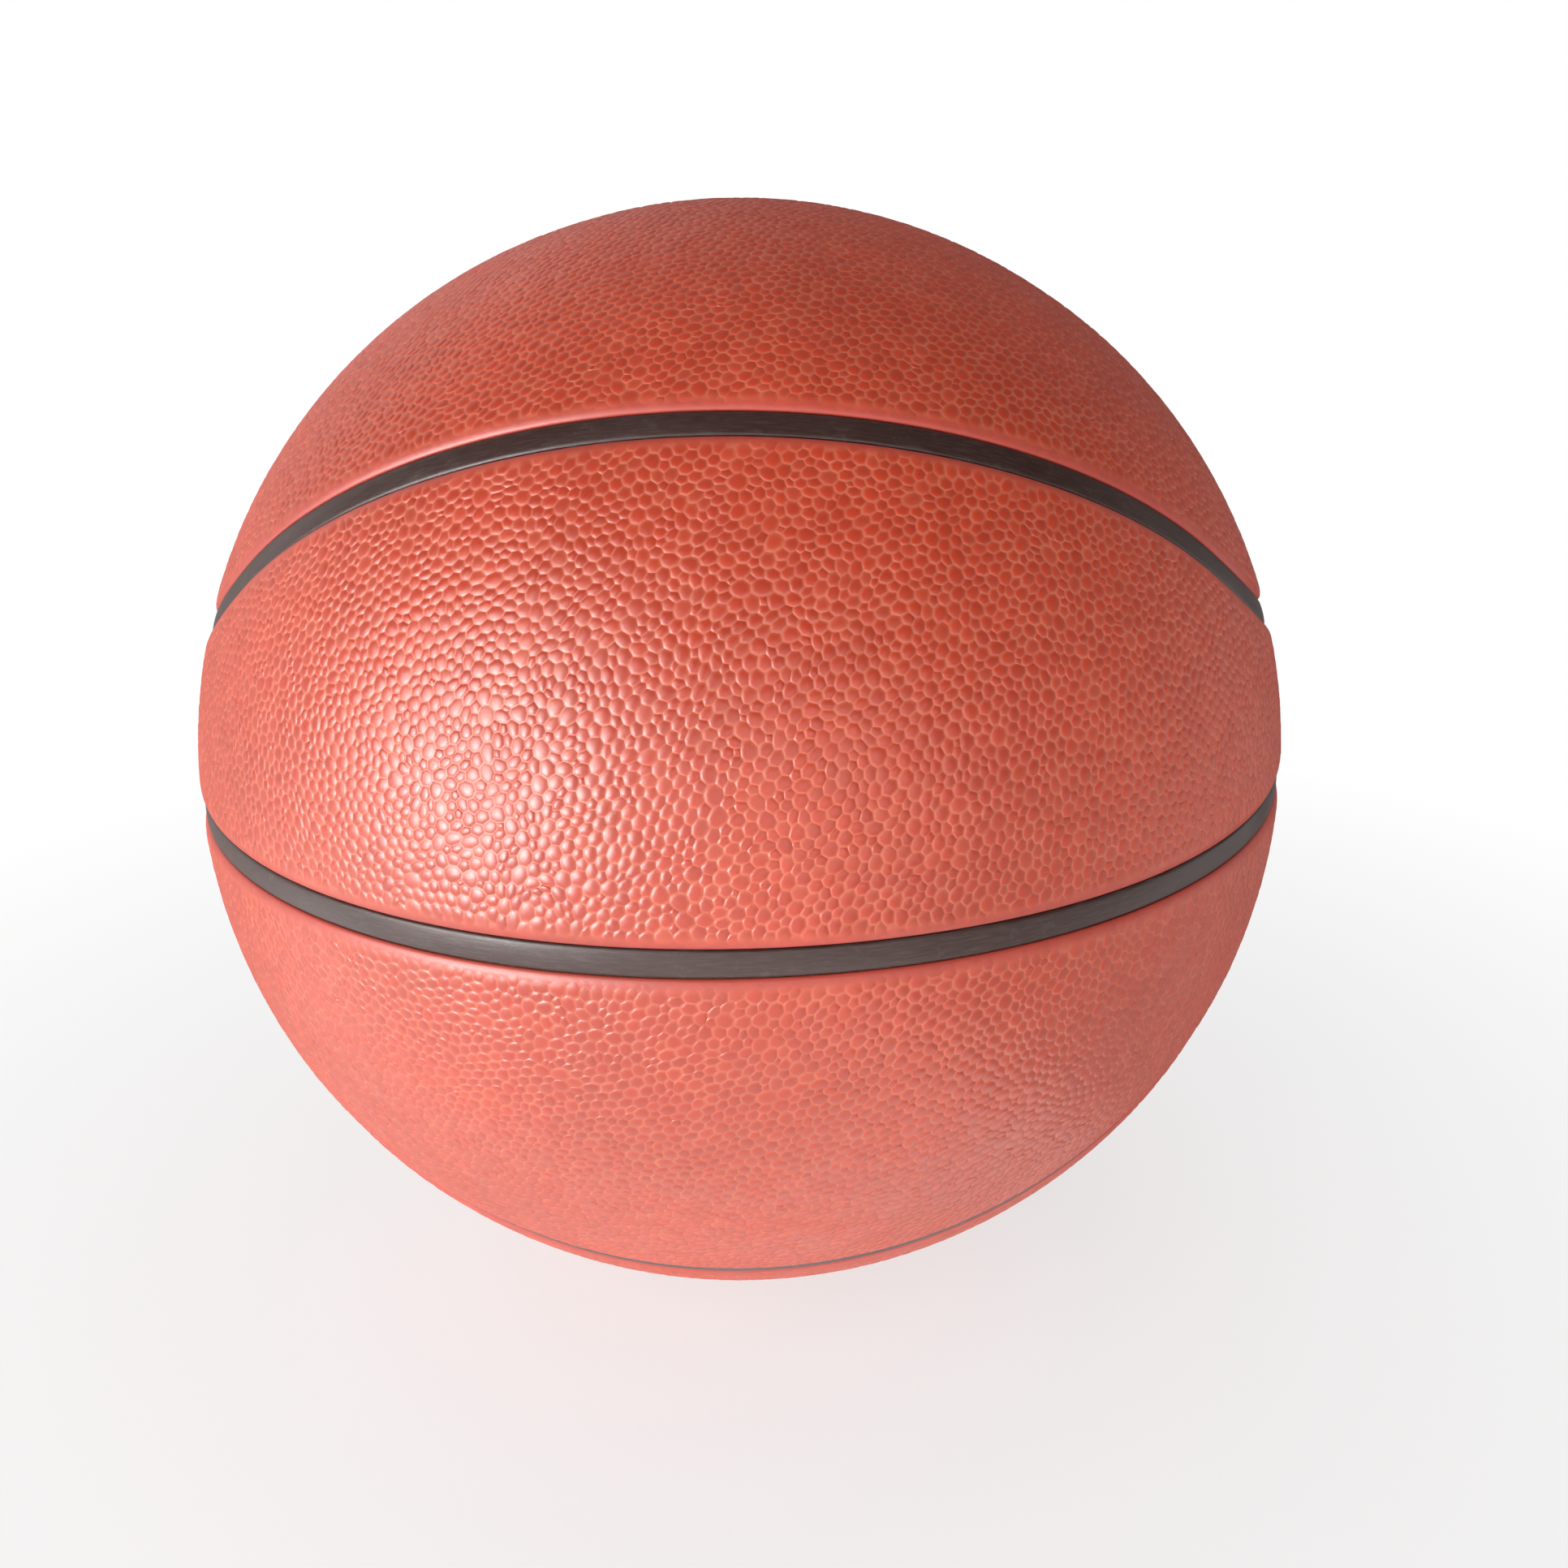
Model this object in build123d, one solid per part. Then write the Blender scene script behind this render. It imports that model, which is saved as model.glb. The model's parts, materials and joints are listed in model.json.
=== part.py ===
from build123d import *
import math
import os

# A regulation basketball: an air bladder in a thread winding, a moulded rubber carcass with raised
# seam ribs, foam-backed cover panels glued into the beds between the ribs, and a valve.
# Millimetres and degrees. The origin is the ball's centre. X runs through the two points where the
# straight seams cross, Y from front to back, Z up through the middle of both oval seams.

# Overall size
BALL_CIRCUMFERENCE = 760.0
BALL_RADIUS = BALL_CIRCUMFERENCE / (2 * math.pi)

# Layers, from the outside in
PANEL_THICKNESS = 1.5
FOAM_THICKNESS = 1.2
CARCASS_THICKNESS = 1.2
WINDING_THICKNESS = 0.5
BLADDER_THICKNESS = 0.8
GLUE_LINE = 0.1

# Seams: two straight ones, in the planes of X with Y and of X with Z, and an oval one round each end
# of Z. An oval's two long sides lie in planes through X, tilted up from the plane of X and Y, and
# its ends are rounded.
RIB_WIDTH = 5.4
RIB_DROP = 0.9
SEAM_GAP = 0.15
OVAL_TILT = 45.7
OVAL_ROUNDING = 72.5

# Panel outline
PANEL_EDGE_RADIUS = 1.1
PANEL_CORNER_RADIUS = 3.0

# Valve, in the middle of the lower back panel
VALVE_ANGLE_BELOW = 23.0
COLLAR_RADIUS = 4.4
COLLAR_DROP = 0.5
COLLAR_CLEARANCE = 0.2
SLEEVE_DEPTH = 18.0
FLANGE_RADIUS = 19.0
FLANGE_THICKNESS = 1.2
CORE_HEAD_RADIUS = 3.2
CORE_HEAD_THICKNESS = 1.8
CORE_HEAD_DROP = 0.7
CORE_STEM_RADIUS = 2.3
CORE_LENGTH = 15.0
CORE_TIP_BEVEL = 0.8
CORE_CLEARANCE = 0.05
NEEDLE_RADIUS = 1.0
NEEDLE_DEPTH = 11.0
FUNNEL_RADIUS = 1.6

# Radii of the layers
PANEL_INNER = BALL_RADIUS - PANEL_THICKNESS
FOAM_OUTER = PANEL_INNER - GLUE_LINE
FOAM_INNER = FOAM_OUTER - FOAM_THICKNESS
BED_RADIUS = FOAM_INNER - GLUE_LINE
RIB_TOP = BALL_RADIUS - RIB_DROP
CARCASS_INNER = BED_RADIUS - CARCASS_THICKNESS
WINDING_OUTER = CARCASS_INNER - GLUE_LINE
WINDING_INNER = WINDING_OUTER - WINDING_THICKNESS
BLADDER_OUTER = WINDING_INNER - GLUE_LINE
BLADDER_INNER = BLADDER_OUTER - BLADDER_THICKNESS
FLANGE_OUTER = BLADDER_INNER - GLUE_LINE

# Cutting solids are longer than the ball in every direction.
CUTTER = 3 * BALL_RADIUS
ON_SURFACE = 0.001

VALVE_SEAT = Rot(X=-90 - VALVE_ANGLE_BELOW)


def shell(outer, inner):
    """A hollow ball."""
    return Sphere(outer) - Sphere(inner)


def front_half(inset):
    """Everything in front of the upright straight seam, set back from its plane by the inset."""
    return Pos(0, -inset, 0) * Box(CUTTER, CUTTER, CUTTER, align=(Align.CENTER, Align.MAX, Align.CENTER))


def upper_half(inset):
    """Everything above the level straight seam, set back from its plane by the inset."""
    return Pos(0, 0, inset) * Box(CUTTER, CUTTER, CUTTER, align=(Align.CENTER, Align.CENTER, Align.MIN))


def oval_trough(inset):
    """Everything inside the upper oval seam, drawn in by the inset: a trough along X with a round bottom."""
    bottom = inset / math.cos(math.radians(OVAL_TILT))
    brim = bottom + CUTTER * math.tan(math.radians(OVAL_TILT))
    with BuildSketch(Plane.YZ) as section:
        with BuildLine():
            Polyline((0, bottom), (CUTTER, brim), (-CUTTER, brim), close=True)
        make_face()
        fillet(section.vertices().sort_by(Axis.Y)[0], OVAL_ROUNDING - inset)
    return extrude(section.sketch, CUTTER, both=True)


def crown_blank(outer, inner, inset):
    """The front half of what lies inside the upper oval seam."""
    return shell(outer, inner) & oval_trough(inset) & front_half(inset)


def band_blank(outer, inner, inset):
    """The front upper piece between the level seam and the oval seam."""
    return (shell(outer, inner) & front_half(inset) & upper_half(inset)) - oval_trough(-inset)


def rounded(blank, outer, inner, inset, radius):
    """A panel's blank with round corners: the edges by the upright seam that run through its thickness."""
    piece = blank(outer, inner, inset)
    through = [e for e in piece.edges() if abs((e @ 0).length - (e @ 1).length) > GLUE_LINE]
    return fillet([e for e in through if abs((e @ 0.5).Y + inset) < ON_SURFACE], radius)


def rim(solid, radius):
    """The edges of a solid that lie at one distance from the ball's centre."""
    return [e for e in solid.edges() if abs((e @ 0.5).length - radius) < ON_SURFACE]


def cover_panel(blank):
    """A cover panel with rounded corners, whose outer edge rolls down towards the rib."""
    panel = rounded(blank, BALL_RADIUS, PANEL_INNER, RIB_WIDTH / 2 + SEAM_GAP, PANEL_CORNER_RADIUS)
    return fillet(rim(panel, BALL_RADIUS), PANEL_EDGE_RADIUS)


def foam_backing(blank):
    """The foam sheet under a cover panel, of the same outline."""
    return rounded(blank, FOAM_OUTER, FOAM_INNER, RIB_WIDTH / 2 + SEAM_GAP, PANEL_CORNER_RADIUS)


def panel_bed(blank):
    """The room that a panel and its foam need in the carcass."""
    return rounded(blank, BALL_RADIUS, BED_RADIUS, RIB_WIDTH / 2, PANEL_CORNER_RADIUS + SEAM_GAP)


def in_quarters(front_upper):
    """A front upper piece and its mirror images, by place."""
    front_lower = front_upper.mirror(Plane.XY)
    return {
        "front_upper": front_upper,
        "front_lower": front_lower,
        "back_upper": front_upper.mirror(Plane.XZ),
        "back_lower": front_lower.mirror(Plane.XZ),
    }


def along_valve(radius, start, end):
    """A cylinder about the valve's axis, between two distances from the ball's centre."""
    rod = Cylinder(radius, end - start, align=(Align.CENTER, Align.CENTER, Align.MIN))
    return VALVE_SEAT * Pos(0, 0, start) * rod


def valve_hole():
    """The hole that the valve's collar needs in each layer."""
    return along_valve(COLLAR_RADIUS + COLLAR_CLEARANCE, 0, CUTTER)


def carcass():
    """The moulded rubber shell: a bed for each panel, with ribs left standing between the beds."""
    body = shell(RIB_TOP, CARCASS_INNER)
    for blank in (crown_blank, band_blank):
        for bed in in_quarters(panel_bed(blank)).values():
            body -= bed
    return body - valve_hole()


def valve_boot():
    """The rubber boot: a curved flange against the bladder, with a sleeve through every layer."""
    top = BALL_RADIUS - COLLAR_DROP
    bottom = BALL_RADIUS - SLEEVE_DEPTH
    head_seat = BALL_RADIUS - CORE_HEAD_DROP - CORE_HEAD_THICKNESS - CORE_CLEARANCE
    flange = shell(FLANGE_OUTER, FLANGE_OUTER - FLANGE_THICKNESS) & along_valve(FLANGE_RADIUS, 0, CUTTER)
    boot = flange + along_valve(COLLAR_RADIUS, bottom, top)
    boot -= along_valve(CORE_STEM_RADIUS + CORE_CLEARANCE, 0, CUTTER)
    return boot - along_valve(CORE_HEAD_RADIUS + CORE_CLEARANCE, head_seat, CUTTER)


def valve_core():
    """The plug: a round head, a stem with a bevelled tip, and a needle duct with a funnel mouth."""
    top = BALL_RADIUS - CORE_HEAD_DROP
    tip = top - CORE_LENGTH
    neck = top - CORE_HEAD_THICKNESS
    duct_end = top - NEEDLE_DEPTH
    funnel_depth = FUNNEL_RADIUS - NEEDLE_RADIUS
    with BuildSketch(Plane.XZ) as half:
        with BuildLine():
            Polyline(
                (0, tip),
                (CORE_STEM_RADIUS - CORE_TIP_BEVEL, tip),
                (CORE_STEM_RADIUS, tip + CORE_TIP_BEVEL),
                (CORE_STEM_RADIUS, neck),
                (CORE_HEAD_RADIUS, neck),
                (CORE_HEAD_RADIUS, top),
                (FUNNEL_RADIUS, top),
                (NEEDLE_RADIUS, top - funnel_depth),
                (NEEDLE_RADIUS, duct_end),
                (0, duct_end),
                close=True,
            )
        make_face()
    return VALVE_SEAT * revolve(half.sketch, Axis.Z)


def all_pieces():
    """Every piece of the ball, by name."""
    pieces = {}
    for name, blank in (("crown", crown_blank), ("band", band_blank)):
        for place, panel in in_quarters(cover_panel(blank)).items():
            pieces[f"{name}_panel_{place}"] = panel
        for place, foam in in_quarters(foam_backing(blank)).items():
            pieces[f"{name}_foam_{place}"] = foam
    for name in ("band_panel_back_lower", "band_foam_back_lower"):
        pieces[name] -= valve_hole()
    pieces["carcass"] = carcass()
    pieces["thread_winding"] = shell(WINDING_OUTER, WINDING_INNER) - valve_hole()
    pieces["bladder"] = shell(BLADDER_OUTER, BLADDER_INNER) - valve_hole()
    pieces["valve_boot"] = valve_boot()
    pieces["valve_core"] = valve_core()
    return pieces


os.makedirs("parts", exist_ok=True)
for node, piece in all_pieces().items():
    export_step(piece, f"parts/{node}.step")
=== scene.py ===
import json
import math

import bpy
import numpy as np
from bpy.props import FloatProperty, FloatVectorProperty, IntProperty, PointerProperty
from mathutils import Matrix, Vector
from mathutils.geometry import delaunay_2d_cdt


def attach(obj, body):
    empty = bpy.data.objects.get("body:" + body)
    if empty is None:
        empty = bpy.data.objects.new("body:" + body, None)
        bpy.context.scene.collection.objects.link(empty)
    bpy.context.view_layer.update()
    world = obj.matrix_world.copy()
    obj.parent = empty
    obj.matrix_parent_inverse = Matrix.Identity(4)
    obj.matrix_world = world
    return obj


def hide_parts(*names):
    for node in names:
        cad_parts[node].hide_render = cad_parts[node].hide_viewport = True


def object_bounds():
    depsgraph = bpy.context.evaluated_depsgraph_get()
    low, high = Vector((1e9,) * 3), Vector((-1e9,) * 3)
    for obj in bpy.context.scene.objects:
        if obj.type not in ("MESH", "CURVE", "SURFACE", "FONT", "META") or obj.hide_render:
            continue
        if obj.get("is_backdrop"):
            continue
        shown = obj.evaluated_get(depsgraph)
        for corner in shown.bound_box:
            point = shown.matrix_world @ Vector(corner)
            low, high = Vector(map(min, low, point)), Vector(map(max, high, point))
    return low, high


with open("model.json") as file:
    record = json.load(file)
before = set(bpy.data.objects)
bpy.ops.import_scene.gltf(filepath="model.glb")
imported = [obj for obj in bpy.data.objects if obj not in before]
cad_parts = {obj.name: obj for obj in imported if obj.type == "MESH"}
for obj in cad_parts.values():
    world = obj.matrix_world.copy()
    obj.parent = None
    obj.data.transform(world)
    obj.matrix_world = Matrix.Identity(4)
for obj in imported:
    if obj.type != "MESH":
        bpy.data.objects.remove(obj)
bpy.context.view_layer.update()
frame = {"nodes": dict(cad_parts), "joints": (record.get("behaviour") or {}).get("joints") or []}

bl_info = {
    "name": "Basketball",
    "version": (1, 0, 0),
    "blender": (4, 5, 0),
    "location": "View3D > Sidebar > Ball",
    "description": "Dresses the built ball: pebbled cover panels, rubber ribs, inner layers, valve and stage",
    "category": "Object",
}

UV_MAP = "OFBake"

# The mirror that takes a front upper piece to each place
QUARTERS = {
    "front_upper": (1, 1, 1),
    "front_lower": (1, 1, -1),
    "back_upper": (1, -1, 1),
    "back_lower": (1, -1, -1),
}
PANELS = [(kind, quarter) for kind in ("band", "crown") for quarter in QUARTERS]
VALVE_PANEL = ("band", "back_lower")


def radii(node):
    """The least and the greatest distance of a built node's vertices from the ball's centre."""
    vertices = frame["nodes"][node].data.vertices
    places = np.empty(len(vertices) * 3, np.float32)
    vertices.foreach_get("co", places)
    away = np.linalg.norm(places.reshape(-1, 3), axis=1)
    return float(away.min()), float(away.max())


PANEL_UNDER, BALL_RADIUS = radii("band_panel_front_upper")
CARCASS_INNER, RIB_RADIUS = radii("carcass")
GLUE_LINE = 0.0001
BED_RADIUS = radii("band_foam_front_upper")[0] - GLUE_LINE
VALVE_AXIS = np.array(frame["joints"][0]["axis"])


class SeamLayout(bpy.types.PropertyGroup):
    """Where the seams run. The long sides of an oval lie in planes through X; its ends are rounded."""

    rib_width: FloatProperty(
        name="Rib width", description="Width of the black rib in a seam", default=0.0054, unit="LENGTH")
    gap: FloatProperty(
        name="Gap", description="Room between a rib and a panel", default=0.00015, unit="LENGTH")
    oval_tilt: FloatProperty(
        name="Oval tilt", description="Tilt of an oval seam's sides", default=math.radians(45.7),
        subtype="ANGLE")
    oval_rounding: FloatProperty(
        name="Oval rounding", description="Radius of an oval seam's ends", default=0.0725, unit="LENGTH")
    corner: FloatProperty(
        name="Corner", description="Radius of a panel's corners", default=0.003, unit="LENGTH")


class CoverLook(bpy.types.PropertyGroup):
    """The pebbled cover."""

    pitch: FloatProperty(
        name="Grain pitch", description="Distance between pebbles", default=0.0024, unit="LENGTH")
    depth: FloatProperty(
        name="Grain depth", description="Height of a pebble over its valleys", default=0.00024, unit="LENGTH")
    jitter: FloatProperty(
        name="Jitter", description="Unevenness of the grain, as a share of its pitch", default=0.36)
    seed: IntProperty(name="Seed", description="Start of the random numbers of the grain", default=7)
    fade_width: FloatProperty(
        name="Fade width", description="How far the grain fades in from a panel's edge", default=0.0034,
        unit="LENGTH")
    roll_width: FloatProperty(
        name="Roll width", description="Width of the rolled edge of a panel", default=0.0034, unit="LENGTH")
    roll_drop: FloatProperty(
        name="Roll drop", description="Fall of the rolled edge of a panel", default=0.0012, unit="LENGTH")
    valve_hole: FloatProperty(
        name="Valve hole", description="Radius of the hole for the valve", default=0.0046, unit="LENGTH")
    top_colour: FloatVectorProperty(
        name="Pebbles", description="Colour of the pebbles", subtype="COLOR", default=(0.51, 0.045, 0.014))
    # Paler valleys: partly the leather's own tone, partly a painted highlight of light caught on the pebbles'
    # flanks
    valley_tone_and_glint_colour: FloatVectorProperty(
        name="Valleys", description="Colour between the pebbles", subtype="COLOR", default=(0.66, 0.150, 0.080))


class RubberLook(bpy.types.PropertyGroup):
    """The rubber of the ribs and the valve."""

    rib_crown: FloatProperty(
        name="Rib crown", description="Rise of a rib's middle over its edges", default=0.0002, unit="LENGTH")
    rib_colour: FloatVectorProperty(
        name="Ribs", description="Colour of the ribs", subtype="COLOR", default=(0.040, 0.015, 0.011))
    valve_colour: FloatVectorProperty(
        name="Valve", description="Colour of the valve", subtype="COLOR", default=(0.035, 0.032, 0.030))


class StageLook(bpy.types.PropertyGroup):
    """The floor's colour, and the camera, whose distance counts from the ball's centre."""

    distance: FloatProperty(
        name="Distance", description="Camera to the ball's centre", default=3.4 * BALL_RADIUS, unit="LENGTH")
    azimuth: FloatProperty(
        name="Azimuth", description="Camera's turn to the right", default=math.radians(2.76), subtype="ANGLE")
    elevation: FloatProperty(
        name="Elevation", description="Camera's height", default=math.radians(18.55), subtype="ANGLE")
    roll: FloatProperty(
        name="Roll", description="Camera's lean", default=math.radians(-1.5), subtype="ANGLE")
    floor_colour: FloatVectorProperty(
        name="Floor", description="Colour of the floor", subtype="COLOR", default=(0.86, 0.86, 0.86))


# Shapes on the unit sphere: what keeps a division from zero and a distance in bounds, and how many points an arc
# and a corner get
NOT_ZERO = 1e-12
LEAST_SLOPE = 0.1
ARC_STEPS = 1500
CORNER_STEPS = 5


def unit(points):
    """Points moved along their own direction to distance 1 from the centre."""
    return points / np.linalg.norm(points, axis=-1, keepdims=True)


def spread_points(spacing, jitter, rng):
    """Evenly spread directions: a sunflower spiral, one golden turn and an equal step of height a point,
    each then pushed aside by a random share of the spacing."""
    step = spacing / BALL_RADIUS
    count = int(4 * math.pi / (step * step * math.sin(math.pi / 3)))
    index = np.arange(count) + 0.5
    height = 1 - 2 * index / count
    turn = index * math.pi * (3 - math.sqrt(5))
    ring = np.sqrt(1 - height * height)
    points = np.stack([height, ring * np.cos(turn), ring * np.sin(turn)], axis=1)
    if jitter:
        points = points + rng.uniform(-jitter, jitter, points.shape) * step
    return unit(points)


def oval_distance(points, seams):
    """Distance from the oval seam, positive outside it. Seen along X the seam is a trough: two straight
    sides that meet in an arc. The distance in that view is spread by how far its direction leans out of
    the sphere's surface."""
    tilt, rounding = seams.oval_tilt, seams.oval_rounding / BALL_RADIUS
    y, z = points[:, 1], points[:, 2]
    rise = z - rounding / math.cos(tilt)
    reach = np.hypot(y, rise) + NOT_ZERO
    in_arc = np.abs(y) < -rise * math.tan(tilt)
    side = np.where(in_arc, y / reach, np.sign(y) * math.sin(tilt))
    down = np.where(in_arc, rise / reach, -math.cos(tilt))
    lean = y * side + z * down
    gap = np.where(in_arc, reach - rounding, lean)
    return BALL_RADIUS * gap / np.sqrt(np.maximum(1 - lean * lean, LEAST_SLOPE))


def rounded_least(first, second, radius):
    """The lesser of two distances, with a round corner where both are under the radius."""
    corner = radius - np.hypot(np.maximum(radius - first, 0), np.maximum(radius - second, 0))
    least = np.minimum(first, second)
    return np.where(least < radius, corner, least)


def edge_distance(kind, points, seams):
    """How far a front upper panel's points lie inside its outline, in metres."""
    half = seams.rib_width / 2 + seams.gap
    upright = BALL_RADIUS * np.arcsin(np.clip(-points[:, 1], -1, 1)) - half
    level = BALL_RADIUS * np.arcsin(np.clip(points[:, 2], -1, 1)) - half
    oval = oval_distance(points, seams)
    if kind == "crown":
        return rounded_least(upright, -oval - half, seams.corner)
    return rounded_least(rounded_least(upright, level, seams.corner), oval - half, seams.corner)


def level_arc(inset, end):
    """The level seam, set back by the inset: a circle round Z, from left to right up to x = end."""
    ring = math.sqrt(1 - inset * inset)
    turn = np.linspace(-1, 1, ARC_STEPS) * math.asin(end / ring)
    return np.stack([ring * np.sin(turn), -ring * np.cos(turn), np.full(ARC_STEPS, inset)], axis=1)


def upright_arc(inset, low, high):
    """The upright seam, set back by the inset: a circle round Y, between two angles up from X."""
    ring = math.sqrt(1 - inset * inset)
    turn = np.linspace(low, high, ARC_STEPS)
    return np.stack([ring * np.cos(turn), np.full(ARC_STEPS, -inset), ring * np.sin(turn)], axis=1)


def oval_arc(inset, back, seams):
    """The front of the oval seam from right to left, drawn in by the inset: an arc (-r sin t, centre - r cos t)
    seen along X, the straight side, which is a circle round the side's normal, and the arc again."""
    tilt, rounding = seams.oval_tilt, seams.oval_rounding / BALL_RADIUS
    radius = rounding - inset
    turn = np.linspace(math.asin(back / radius), tilt, ARC_STEPS)
    y, z = -radius * np.sin(turn), rounding / math.cos(tilt) - radius * np.cos(turn)
    right = np.stack([np.sqrt(1 - y * y - z * z), y, z], axis=1)
    normal = np.array([0, math.sin(tilt), math.cos(tilt)])
    forward = np.array([0, -math.cos(tilt), math.sin(tilt)])
    start = math.atan2(right[-1] @ forward, right[-1, 0])
    sweep = np.linspace(start, math.pi - start, ARC_STEPS)[1:-1, None]
    ring = math.sqrt(1 - inset * inset)
    middle = inset * normal + ring * (np.cos(sweep) * [1, 0, 0] + np.sin(sweep) * forward)
    return np.concatenate([right, middle, right[::-1] * [-1, 1, 1]])


def outline_edges(kind, inset, seams):
    """The edges of a front upper panel in order, left turn inside, set back from the seams by the inset."""
    inset /= BALL_RADIUS
    ring = math.sqrt(1 - inset * inset)
    oval = oval_arc(inset if kind == "crown" else -inset, inset, seams)
    tip_turn = math.atan2(oval[0, 2], oval[0, 0])
    if kind == "crown":
        return [oval[::-1], upright_arc(inset, tip_turn, math.pi - tip_turn)]
    foot_turn = math.asin(inset / ring)
    right = upright_arc(inset, foot_turn, tip_turn)
    left = upright_arc(inset, math.pi - tip_turn, math.pi - foot_turn)
    return [level_arc(inset, ring * math.cos(foot_turn)), right, oval, left]


def even_steps(line, trim, count):
    """A line's points at even steps of length, leaving out the trim at both ends."""
    length = np.r_[0, np.cumsum(np.linalg.norm(np.diff(line, axis=0), axis=1))]
    at = np.linspace(trim, length[-1] - trim, count)
    return np.stack([np.interp(at, length, line[:, axis]) for axis in range(3)], axis=1)


def edge_counts(kind, inset, corner, spacing, seams):
    """How many points each edge of an outline gets."""
    lengths = [np.linalg.norm(np.diff(e, axis=0), axis=1).sum() for e in outline_edges(kind, inset, seams)]
    return [max(2, round((n - 2 * corner / BALL_RADIUS) * BALL_RADIUS / spacing)) for n in lengths]


def outline(kind, inset, corner, counts, seams):
    """A panel's closed outline: its edges in even steps, joined at each corner by a quadratic curve whose
    middle point is the corner."""
    edges = outline_edges(kind, inset, seams)
    sides = [even_steps(e, corner / BALL_RADIUS, n) for e, n in zip(edges, counts)]
    share = np.linspace(0, 1, CORNER_STEPS + 2)[1:-1, None]
    parts = []
    for side, after, edge in zip(sides, sides[1:] + sides[:1], edges):
        bend = (1 - share) ** 2 * side[-1] + 2 * share * (1 - share) * edge[-1] + share ** 2 * after[0]
        parts += [side, bend]
    return unit(np.concatenate(parts))


def hole_outline(radius, axis, count):
    """A circle round an axis, clockwise from outside."""
    across = unit(np.cross(axis, [1.0, 0.0, 0.0]))
    along = np.cross(axis, across)
    turn = -np.linspace(0, 2 * math.pi, count, endpoint=False)[:, None]
    angle = radius / BALL_RADIUS
    return math.cos(angle) * axis + math.sin(angle) * (np.cos(turn) * across + np.sin(turn) * along)


# What is left of a corner's radius under the ribs, how far a net's point settles in a round, and what the
# triangulation is told: to keep what lies inside the outline, and how near counts as the same place
CORNER_LEAST = 0.00002
RELAX_SHARE = 0.35
INSIDE_ONLY = 1
SAME_PLACE = 1e-9


class Quarter:
    """The piece of the sphere that one panel covers, worked out in the front upper quarter. The mirror takes
    it to its own place."""

    def __init__(self, kind, quarter, seams, spacing, hole):
        self.kind, self.seams, self.hole = kind, seams, hole
        self.mirror = np.array(QUARTERS[quarter])
        self.half = seams.rib_width / 2
        self.wall = self.half + seams.gap
        self.counts = edge_counts(kind, self.wall, seams.corner, spacing, seams)
        self.valve = VALVE_AXIS * self.mirror if (kind, quarter) == VALVE_PANEL else None
        self.ring_count = round(2 * math.pi * hole / spacing)
        top = math.pi / 2 if kind == "crown" else 0.0
        self.elevation = (seams.oval_tilt + top) / 2
        self.middle = np.array([0, -math.cos(self.elevation), math.sin(self.elevation)])
        self.up = np.array([0, math.sin(self.elevation), math.cos(self.elevation)])

    def outer(self, inset):
        """The closed outline at an inset from the seams' middle lines. Its corners sharpen under the ribs."""
        corner = self.seams.corner * min(1.0, inset / self.wall) + CORNER_LEAST
        return outline(self.kind, inset, corner, self.counts, self.seams)

    def holes(self, inset):
        """The outline of the valve's hole, set back by the inset, where this quarter has it."""
        if self.valve is None:
            return []
        return [hole_outline(self.hole + inset, self.valve, self.ring_count)]

    def rims(self, inset):
        """The panel's closed edges, set back by the inset: its outline and the valve's hole, if any."""
        return [self.outer(self.wall + inset), *self.holes(inset)]

    def inside(self, points):
        """How far points lie inside the panel's edge and outside the valve's hole, in metres."""
        distance = edge_distance(self.kind, points, self.seams)
        if self.valve is None:
            return distance
        ring = BALL_RADIUS * np.arccos(np.clip(points @ self.valve, -1, 1)) - self.hole
        return np.minimum(distance, ring)

    def own(self, points, margin):
        """Those of some front upper directions that lie inside this piece by a margin."""
        points = points[(points[:, 1] < 0) & (points[:, 2] > 0)]
        return points[self.inside(points) > margin]

    def flatten(self, points):
        """The stereographic picture from the piece's middle, which keeps angles: sideways and upward parts over
        one plus the part along the middle."""
        scale = 1 + points @ self.middle
        return np.stack([points[:, 0] / scale, points @ self.up / scale], axis=1)

    def triangles(self, points, rows):
        """Delaunay triangles, left turn, of the points inside the first row. The rows are the first points."""
        starts = np.cumsum([0] + [len(r) for r in rows])
        walls = [np.stack([np.arange(a, b), np.r_[a + 1:b, a]], axis=1) for a, b in zip(starts, starts[1:])]
        flat = self.flatten(points)
        area = [list(range(starts[1]))]
        _, _, faces, origins, _, _ = delaunay_2d_cdt(
            flat.tolist(), np.concatenate(walls).tolist(), area, INSIDE_ONLY, SAME_PLACE)
        source = np.fromiter((o[0] for o in origins), int, len(origins))
        corners = source[np.array(faces)]
        a, b, c = (flat[corners[:, k]] for k in range(3))
        turned = np.cross(b - a, c - a) < 0
        corners[turned] = corners[turned][:, ::-1]
        return corners

    def net(self, points, rows, rounds=0):
        """A triangle net of the rows and the points inside them, whose points settle for some rounds."""
        fixed = sum(len(r) for r in rows)
        points = np.concatenate([*rows, points])
        for _ in range(rounds):
            points = relax(points, self.triangles(points, rows), fixed, RELAX_SHARE)
        corners = self.triangles(points, rows)
        in_hole = ((corners >= len(rows[0])) & (corners < fixed)).all(1)
        return points, corners[~in_hole]


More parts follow.
